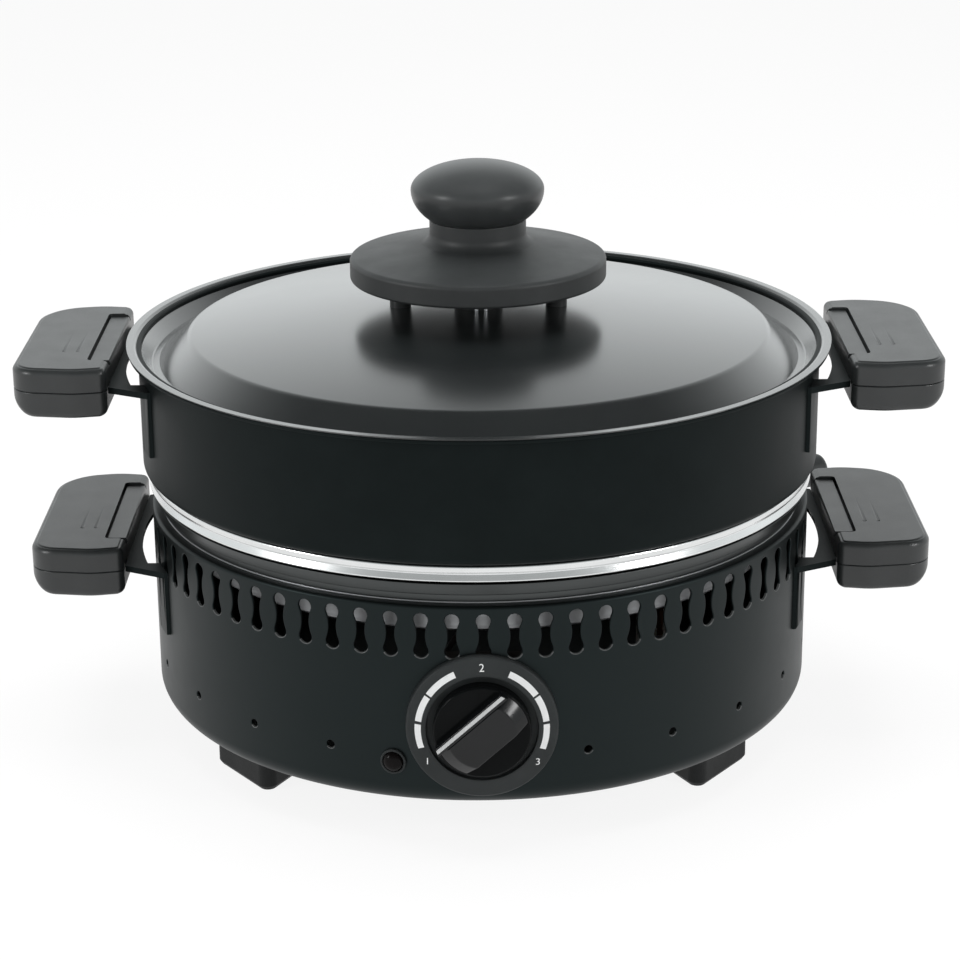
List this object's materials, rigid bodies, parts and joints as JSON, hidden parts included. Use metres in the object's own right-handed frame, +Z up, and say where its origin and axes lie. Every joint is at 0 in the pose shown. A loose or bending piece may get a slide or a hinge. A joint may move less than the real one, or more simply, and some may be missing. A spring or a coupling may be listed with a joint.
{
  "type": "electric chestnut roaster",
  "caption": "Round electric chestnut roaster: a slotted base with a thermostat dial, a lift-out pan and a lift-off lid with a guarded knob, with grips at both sides.",
  "frame": {"origin": "on the table under the axis of the pan, between the feet", "axes": "+Z up along the axis of the pan, -Y to the front with the dial, +X to the right grips"},
  "size_m": [0.413, 0.325, 0.2633],
  "materials": {
    "black_coat": "satin black heat-proof coat on steel sheet",
    "lid_coat": "smooth satin black coat on pressed steel sheet",
    "grip_black": "moulded heat-proof plastic, fine matt grain",
    "moulded_black": "moulded heat-proof plastic, matt",
    "gloss_black": "moulded heat-proof plastic, polished",
    "foot_black": "moulded plastic, matt",
    "bright_ring": "bright rolled steel",
    "reflector": "bright sheet",
    "tube_sheath": "dark oxidised steel tube",
    "ceramic_white": "unglazed",
    "thermostat_case": "dark moulded case",
    "zinc_plate": "zinc plated",
    "brass_insert": "plain turned",
    "white_line": "white",
    "lens_red": "dark clear red",
    "lamp_glass": "clear glass",
    "wire_brown": "heat-proof sleeve",
    "wire_red": "heat-proof sleeve",
    "wire_blue": "heat-proof sleeve",
    "wire_black": "heat-proof sleeve"
  },
  "bodies": {
    "base": {"base_housing": "black_coat", "base_floor": "black_coat", "rim_ring": "bright_ring", "ring_screws": "zinc_plate", "reflector_dish": "reflector", "heating_element": "tube_sheath", "element_bushings": "ceramic_white", "element_clip_1": "zinc_plate", "element_clip_2": "zinc_plate", "element_clip_3": "zinc_plate", "dial_bezel": "moulded_black", "dial_screws": "zinc_plate", "thermostat_body": "thermostat_case", "thermostat_plate": "zinc_plate", "indicator_lens": "lens_red", "indicator_nut": "zinc_plate", "indicator_lamp": "lamp_glass", "cord_gland": "moulded_black", "gland_nut": "zinc_plate", "terminal_block": "ceramic_white", "block_screws": "zinc_plate", "wire_block_to_thermostat": "wire_brown", "wire_thermostat_to_element": "wire_red", "wire_block_to_element": "wire_blue", "wire_block_to_lamp": "wire_black", "foot_1": "foot_black", "foot_2": "foot_black", "foot_3": "foot_black", "foot_4": "foot_black", "foot_screws": "zinc_plate", "foot_nuts": "zinc_plate", "base_bracket_left": "black_coat", "base_bracket_right": "black_coat", "base_grip_upper_left": "grip_black", "base_grip_upper_right": "grip_black", "base_grip_lower_left": "grip_black", "base_grip_lower_right": "grip_black", "base_grip_screws": "zinc_plate"},
    "dial": {"dial_knob": "gloss_black", "dial_pointer": "white_line", "thermostat_shaft": "zinc_plate"},
    "pan": {"pan_shell": "black_coat", "pan_bracket_left": "black_coat", "pan_bracket_right": "black_coat", "pan_grip_upper_left": "grip_black", "pan_grip_upper_right": "grip_black", "pan_grip_lower_left": "grip_black", "pan_grip_lower_right": "grip_black", "pan_grip_screws": "zinc_plate"},
    "lid": {"lid_shell": "lid_coat", "heat_guard": "moulded_black", "guard_leg_left": "moulded_black", "guard_leg_right": "moulded_black", "lid_knob": "gloss_black", "knob_insert": "brass_insert", "lid_bolt": "zinc_plate", "lid_washer": "zinc_plate"}
  },
  "joints": [
    {"name": "dial_turn", "type": "hinge", "parent": "base", "child": "dial", "pos_m": [0, -0.1516, 0.057], "axis": [0, 1, 0], "range_deg": [0, 264]},
    {"name": "pan_lift", "type": "slide", "parent": "base", "child": "pan", "axis": [0, 0, 1], "range_m": [0, 0.12]},
    {"name": "lid_lift", "type": "slide", "parent": "pan", "child": "lid", "axis": [0, 0, 1], "range_m": [0, 0.1]}
  ]
}
